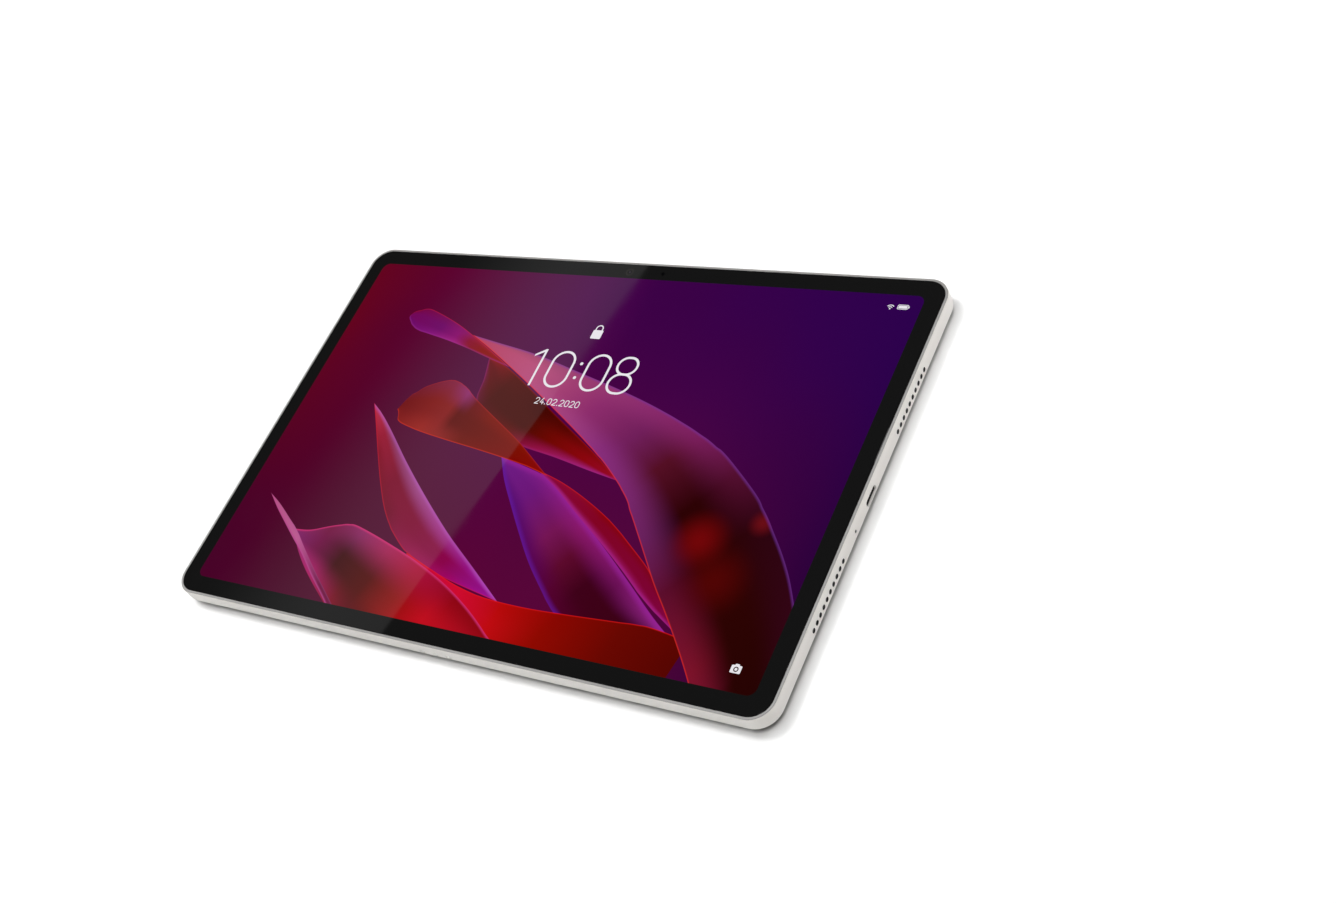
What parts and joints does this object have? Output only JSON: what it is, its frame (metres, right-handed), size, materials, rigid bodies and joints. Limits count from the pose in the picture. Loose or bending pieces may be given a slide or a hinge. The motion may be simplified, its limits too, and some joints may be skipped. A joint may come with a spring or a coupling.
{
  "type": "tablet computer",
  "caption": "Slim tablet computer with a glass front, rounded metal shell, raised pill-shaped camera cover, side speaker slots, USB-C port, sprung power key and tilting volume rocker.",
  "frame": {"origin": "middle of the tablet's outline, on the surface that its lens rings rest on", "axes": "+X to the short side with the USB-C port, +Y to the long side by the front camera, +Z out of the display"},
  "size_m": [0.2912, 0.1886, 0.01],
  "materials": {
    "shell": "satin off-white anodised aluminium",
    "band": "glossy off-white glass-like panel",
    "lens_ring": "bright polished",
    "lens_black": "glossy black",
    "lens_glass": "black coated glass",
    "flash_lens": "clear diffuser",
    "flash_led": "yellow phosphor",
    "front_glass": "clear front glass with a black printed border",
    "frame": "matt grey",
    "gasket": "black adhesive foam",
    "display": "lit liquid-crystal panel",
    "steel": "plain",
    "tinned": "tinned",
    "flex": "amber polyimide",
    "board": "green solder mask",
    "chip": "black epoxy",
    "battery": "dark laminated foil",
    "black_plastic": "moulded",
    "magnet": "nickel-plated magnet",
    "contact": "plated contact",
    "diaphragm": "stiff film",
    "mesh": "fine black woven wire"
  },
  "bodies": {
    "chassis": {"backlight_unit": "steel", "battery_board": "board", "battery_cell_left": "battery", "battery_cell_right": "battery", "camera_body_macro": "black_plastic", "camera_body_main": "tinned", "camera_cover": "band", "cover_glass": "front_glass", "display_flex": "flex", "display_gasket": "gasket", "flash_led": "flash_led", "flash_lens": "flash_lens", "front_camera_body": "black_plastic", "front_camera_lens": "lens_black", "lcd_panel": "display", "lens_bezel_macro": "lens_black", "lens_bezel_main": "lens_black", "lens_ring_macro": "lens_ring", "lens_ring_main": "lens_ring", "lens_window_macro": "lens_glass", "lens_window_main": "lens_glass", "light_sensor": "chip", "lower_board": "board", "main_flex": "flex", "mainboard": "board", "mainboard_screw_left": "steel", "mainboard_screw_right": "steel", "microphone": "tinned", "mid_frame": "frame", "pogo_contact_left": "contact", "pogo_contact_middle": "contact", "pogo_contact_right": "contact", "pogo_insulator": "black_plastic", "power_switch": "black_plastic", "processor": "chip", "rear_housing": "shell", "shield_can": "tinned", "speaker_box_left_bottom": "black_plastic", "speaker_box_left_top": "black_plastic", "speaker_box_right_bottom": "black_plastic", "speaker_box_right_top": "black_plastic", "speaker_mesh_left_bottom": "mesh", "speaker_mesh_left_top": "mesh", "speaker_mesh_right_bottom": "mesh", "speaker_mesh_right_top": "mesh", "stylus_magnet": "magnet", "top_band": "band", "usb_board": "board", "usb_c_shell": "steel", "usb_c_tongue": "black_plastic", "volume_switch_down": "black_plastic", "volume_switch_up": "black_plastic", "wifi_antenna": "black_plastic"},
    "power_button": {"power_button": "shell"},
    "volume_rocker": {"volume_rocker": "shell"},
    "focus_barrel": {"camera_barrel_main": "lens_black"},
    "cone_left_top": {"speaker_diaphragm_left_top": "diaphragm"},
    "cone_left_bottom": {"speaker_diaphragm_left_bottom": "diaphragm"},
    "cone_right_top": {"speaker_diaphragm_right_top": "diaphragm"},
    "cone_right_bottom": {"speaker_diaphragm_right_bottom": "diaphragm"}
  },
  "joints": [
    {"name": "power_press", "type": "slide", "parent": "chassis", "child": "power_button", "axis": [1, 0, 0], "range_m": [0, 0.00025], "stiffness_N_per_m": 6000},
    {"name": "volume_tilt", "type": "hinge", "parent": "chassis", "child": "volume_rocker", "pos_m": [-0.118, 0.09337, 0.0056], "axis": [0, 0, 1], "range_deg": [-1, 1], "stiffness_Nm_per_rad": 0.7},
    {"name": "focus_slide", "type": "slide", "parent": "chassis", "child": "focus_barrel", "axis": [0, 0, -1], "range_m": [0, 0.00025], "stiffness_N_per_m": 200},
    {"name": "cone_left_top_stroke", "type": "slide", "parent": "chassis", "child": "cone_left_top", "axis": [0, 0, 1], "range_m": [-0.00025, 0.00025], "stiffness_N_per_m": 800},
    {"name": "cone_left_bottom_stroke", "type": "slide", "parent": "chassis", "child": "cone_left_bottom", "axis": [0, 0, 1], "range_m": [-0.00025, 0.00025], "stiffness_N_per_m": 800},
    {"name": "cone_right_top_stroke", "type": "slide", "parent": "chassis", "child": "cone_right_top", "axis": [0, 0, 1], "range_m": [-0.00025, 0.00025], "stiffness_N_per_m": 800},
    {"name": "cone_right_bottom_stroke", "type": "slide", "parent": "chassis", "child": "cone_right_bottom", "axis": [0, 0, 1], "range_m": [-0.00025, 0.00025], "stiffness_N_per_m": 800}
  ]
}
